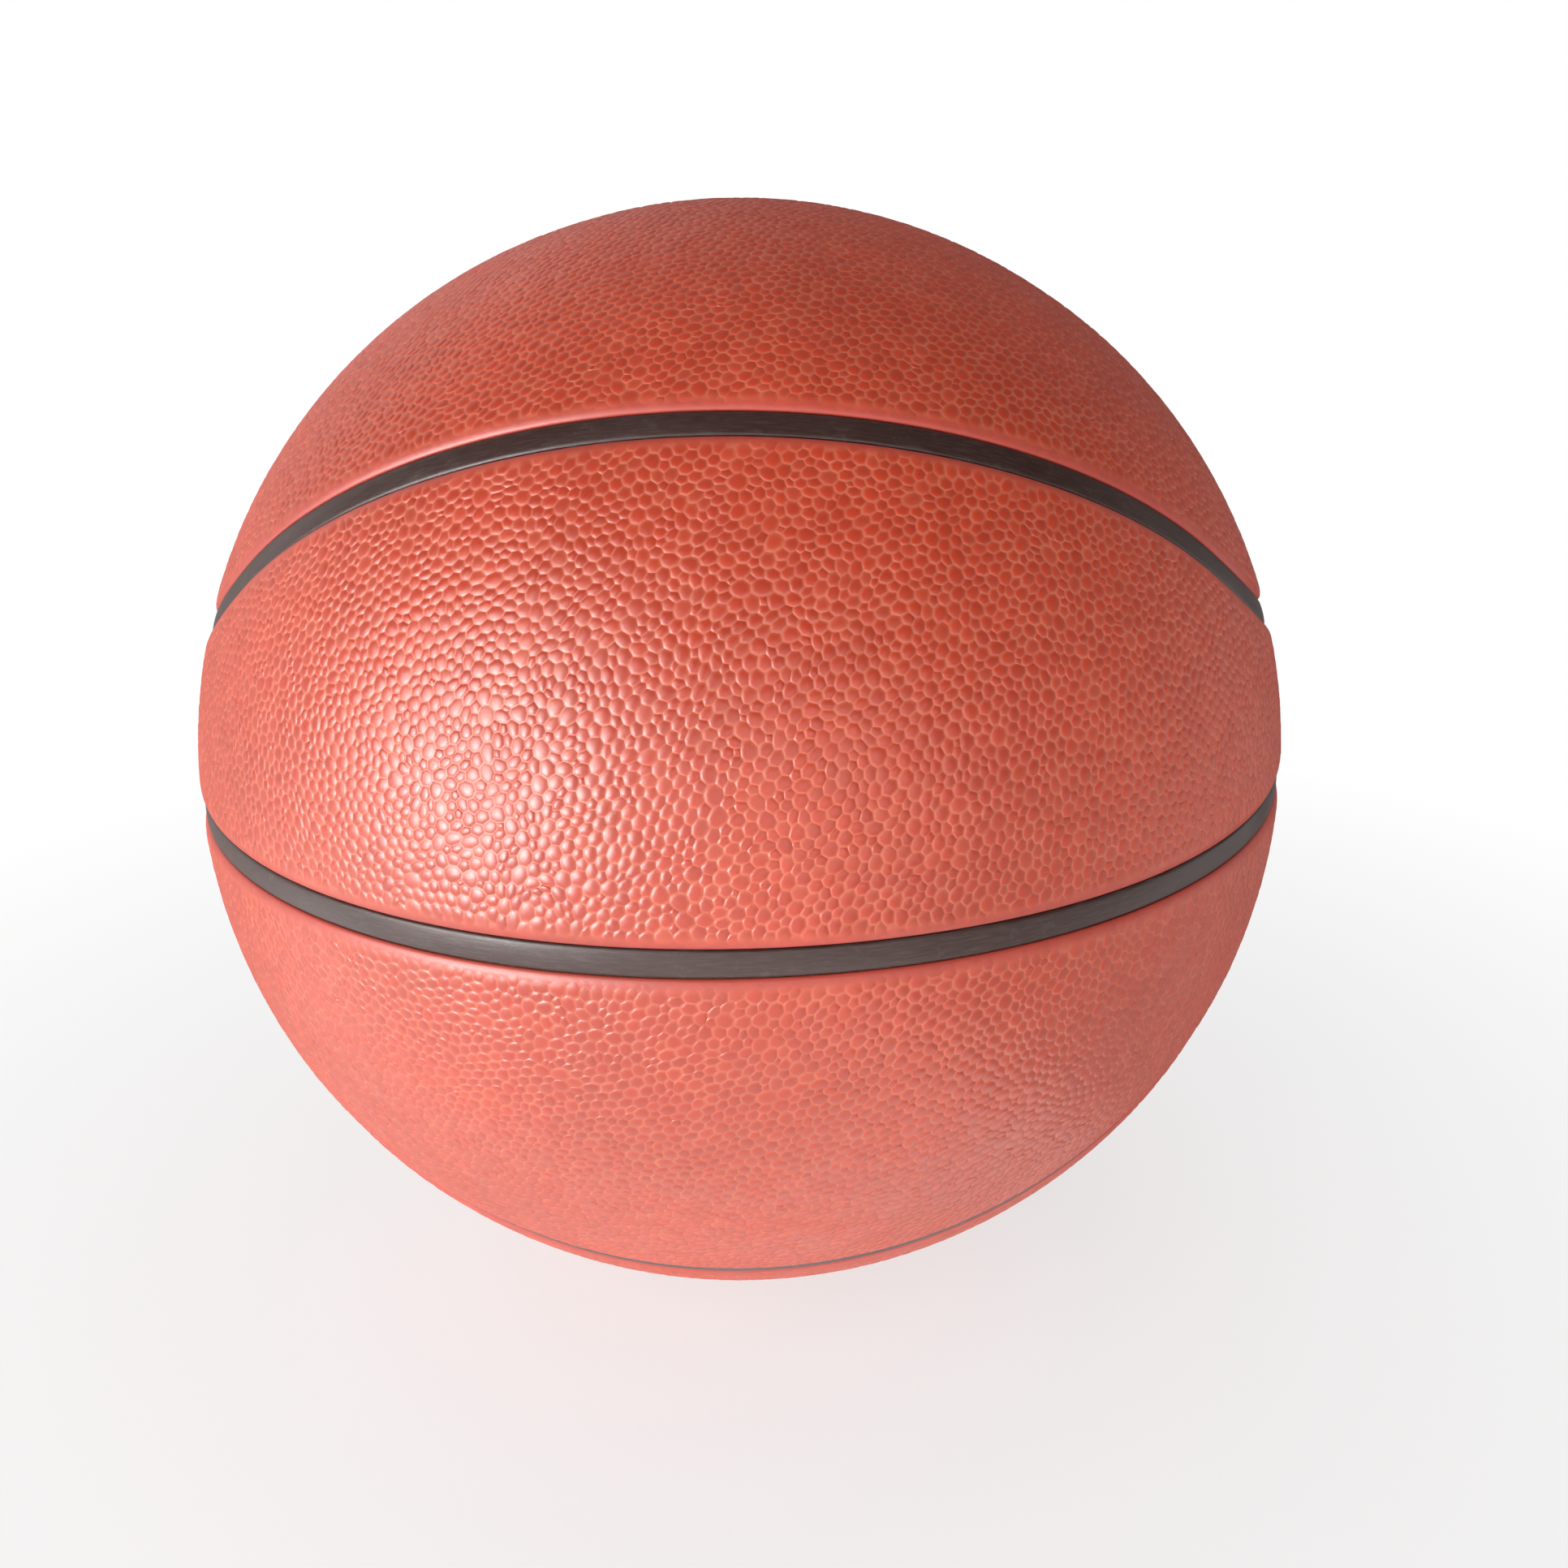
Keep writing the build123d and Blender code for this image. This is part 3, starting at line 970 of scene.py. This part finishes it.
class BALL_OT_stage(bpy.types.Operator):
    """Sets the floor, the light and the camera"""

    bl_idname = "ball.stage"
    bl_label = "Stage"

    def execute(self, context):
        scene, look = context.scene, context.scene.ball_stage
        scene.view_settings.view_transform = "Standard"
        lowest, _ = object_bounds()
        make_floor(lowest[2], look)
        make_lights(scene)
        make_camera(scene, look)
        return {"FINISHED"}


def seen_share(nodes):
    """1 for rays from the camera and for reflected or refracted ones, 0 for the light that fills the room."""
    path = nodes.add("ShaderNodeLightPath")
    both = nodes.math("MAXIMUM", path.outputs["Is Camera Ray"], path.outputs["Is Glossy Ray"])
    return nodes.math("MAXIMUM", both, path.outputs["Is Transmission Ray"])


# The floor: half its width, a second shade of its paper, and how its white grows with the distance from the
# ball's middle
FLOOR_REACH = 12.0
FLOOR_SHADE = (0.8, 0.8, 0.8, 1.0)
WHITE_SPAN = (0.13, 0.40)
WHITE_SHARE = (0.66, 1.0)


def make_floor(level, look):
    """A wide plain floor under the ball. To the eye it brightens into the white of the room behind it, and from
    below it is clear."""
    corners = np.array([[-1, -1, 0], [1, -1, 0], [1, 1, 0], [-1, 1, 0]]) * FLOOR_REACH + [0, 0, level]
    floor = new_mesh("floor", corners, np.array([[0, 1, 2], [0, 2, 3]]))
    n, place = new_material("floor_paper")
    tint = n.noise(place, scale=40.0, detail=2.0)
    colour = n.mix(n.spread(tint, (0.3, 0.7), (0.0, 0.02)), rgba(look.floor_colour), FLOOR_SHADE)
    paper = n.surface(colour, roughness=0.9)
    away = n.add("ShaderNodeVectorMath", {"operation": "LENGTH"}, _0=place).outputs["Value"]
    white = n.math("MULTIPLY", n.spread(away, WHITE_SPAN, WHITE_SHARE), seen_share(n))
    glow = n.add("ShaderNodeEmission", Color=WHITE, Strength=1.0).outputs["Emission"]
    above = n.add("ShaderNodeMixShader", _0=white, _1=paper, _2=glow).outputs["Shader"]
    clear = n.add("ShaderNodeBsdfTransparent").outputs["BSDF"]
    under = n.add("ShaderNodeNewGeometry").outputs["Backfacing"]
    both = n.add("ShaderNodeMixShader", _0=under, _1=above, _2=clear).outputs["Shader"]
    floor.data.materials.append(n.finish(both))
    floor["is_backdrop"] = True


def soft_light(name, place, size, power, aim=(0.0, 0.0, 0.0)):
    """A square lamp that faces the ball, or another aim."""
    lamp = bpy.data.lights.new(name, "AREA")
    lamp.shape, lamp.size, lamp.energy = "SQUARE", size, power
    thing = bpy.data.objects.new(name, lamp)
    thing.location = place
    thing.rotation_euler = (Vector(aim) - Vector(place)).to_track_quat("-Z", "Y").to_euler()
    bpy.context.scene.collection.objects.link(thing)
    return thing


# Lamps: place, size and power. They face the ball.
KEY_PLACE = (-0.68, -0.78, 0.015)
KEY_SIZE = 0.26
LAMPS = {
    "key": (KEY_PLACE, KEY_SIZE, 3.5),
    "window": ((-1.00, -1.35, 0.85), 1.10, 8.6),
    "fill": ((0.35, -1.25, 0.20), 0.90, 3.4),
    "far": ((-0.90, 1.80, 0.85), 1.60, 10.0),
}

# Lamps that show only in the gloss. The table lies level, so it aims straight up.
REFLECTORS = {
    "glint": (KEY_PLACE, KEY_SIZE, 6.0),
    "card": ((-0.98, -0.76, 0.19), 0.80, 15.0),
    "table": ((-0.38, -0.50, -0.119), 1.00, 4.0, (-0.38, -0.50, 1.0)),
}

# The room: its white by height, from the horizon up, and how dim its right side is in reflections
ROOM_HEIGHT = (0.14, 0.62)
ROOM_WHITE = (1.0, 0.22)
ROOM_RIGHT = (0.0, 0.7)
ROOM_DIM = (0.0, 0.65)


def make_lights(scene):
    """A soft key from the left and front, level with the ball, a broad window beyond it, broad weak lights from
    the right and from behind, and a room that is white at the horizon and dimmer overhead. The gloss also
    mirrors a glint of the key, a card beside it and a pale table in front, which light nothing else, and
    a room that is darker on the right."""
    for name, lamp in LAMPS.items():
        soft_light(name, *lamp)
    for name, lamp in REFLECTORS.items():
        reflector = soft_light(name, *lamp)
        reflector.visible_diffuse = reflector.visible_camera = False
    n = Nodes(bpy.data.worlds.new("room"))
    towards = n.add("ShaderNodeTexCoord").outputs["Generated"]
    direction = n.add("ShaderNodeSeparateXYZ", Vector=towards).outputs
    white = n.spread(direction["Z"], ROOM_HEIGHT, ROOM_WHITE)
    mirrored = n.add("ShaderNodeLightPath").outputs["Is Glossy Ray"]
    dim = n.math("MULTIPLY", mirrored, n.spread(direction["X"], ROOM_RIGHT, ROOM_DIM))
    strength = n.math("MULTIPLY", white, n.math("SUBTRACT", 1.0, dim))
    sky = n.add("ShaderNodeBackground", Color=WHITE, Strength=strength)
    scene.world = n.finish(sky.outputs["Background"], "ShaderNodeOutputWorld")


# The photograph's side, and the ball's middle and radius in it, in pixels
PHOTO_SIDE = 1932
BALL_PIXEL = (911.3, 910.2)
BALL_PIXEL_RADIUS = 667.5


def make_camera(scene, look):
    """The photograph's view. The lens follows from how large the ball is in the picture: its rim lies at the
    angle whose sine is radius over distance, and the shift puts its middle where the picture has it."""
    camera = bpy.data.cameras.new("camera")
    focal_pixels = BALL_PIXEL_RADIUS / math.tan(math.asin(BALL_RADIUS / look.distance))
    camera.sensor_width = 36.0
    camera.lens = camera.sensor_width * focal_pixels / PHOTO_SIDE
    camera.shift_x = 0.5 - BALL_PIXEL[0] / PHOTO_SIDE
    camera.shift_y = BALL_PIXEL[1] / PHOTO_SIDE - 0.5
    camera.clip_start = 0.01
    thing = bpy.data.objects.new("camera", camera)
    flat = math.cos(look.elevation)
    aim = Vector((math.sin(look.azimuth) * flat, -math.cos(look.azimuth) * flat, math.sin(look.elevation)))
    turn = (-aim).to_track_quat("-Z", "Y").to_matrix() @ Matrix.Rotation(look.roll, 3, "Z")
    thing.matrix_world = Matrix.Translation(aim * look.distance) @ turn.to_4x4()
    scene.collection.objects.link(thing)
    scene.camera = thing


GROUPS = {
    "ball_seams": SeamLayout,
    "ball_cover": CoverLook,
    "ball_rubber": RubberLook,
    "ball_stage": StageLook,
}
PIECES = (BALL_OT_cover_panels, BALL_OT_carcass, BALL_OT_inner_layers, BALL_OT_valve, BALL_OT_stage)


class BALL_PT_sidebar(bpy.types.Panel):
    """The ball's pieces and sizes"""

    bl_label = "Basketball"
    bl_idname = "BALL_PT_sidebar"
    bl_space_type = "VIEW_3D"
    bl_region_type = "UI"
    bl_category = "Ball"

    def draw(self, context):
        for piece in PIECES:
            self.layout.operator(piece.bl_idname)
        for name, group in GROUPS.items():
            box = self.layout.box()
            for key in group.__annotations__:
                box.prop(getattr(context.scene, name), key)


def register():
    """Makes the sizes, the operators and the sidebar known to Blender."""
    for name, group in GROUPS.items():
        bpy.utils.register_class(group)
        setattr(bpy.types.Scene, name, PointerProperty(type=group))
    for piece in PIECES:
        bpy.utils.register_class(piece)
    bpy.utils.register_class(BALL_PT_sidebar)


def unregister():
    """Takes them out again."""
    bpy.utils.unregister_class(BALL_PT_sidebar)
    for piece in reversed(PIECES):
        bpy.utils.unregister_class(piece)
    for name, group in GROUPS.items():
        delattr(bpy.types.Scene, name)
        bpy.utils.unregister_class(group)


def main():
    """Builds everything."""
    register()
    bpy.ops.ball.cover_panels()
    bpy.ops.ball.carcass()
    bpy.ops.ball.inner_layers()
    bpy.ops.ball.valve()
    bpy.ops.ball.stage()


if __name__ == "__main__":
    main()
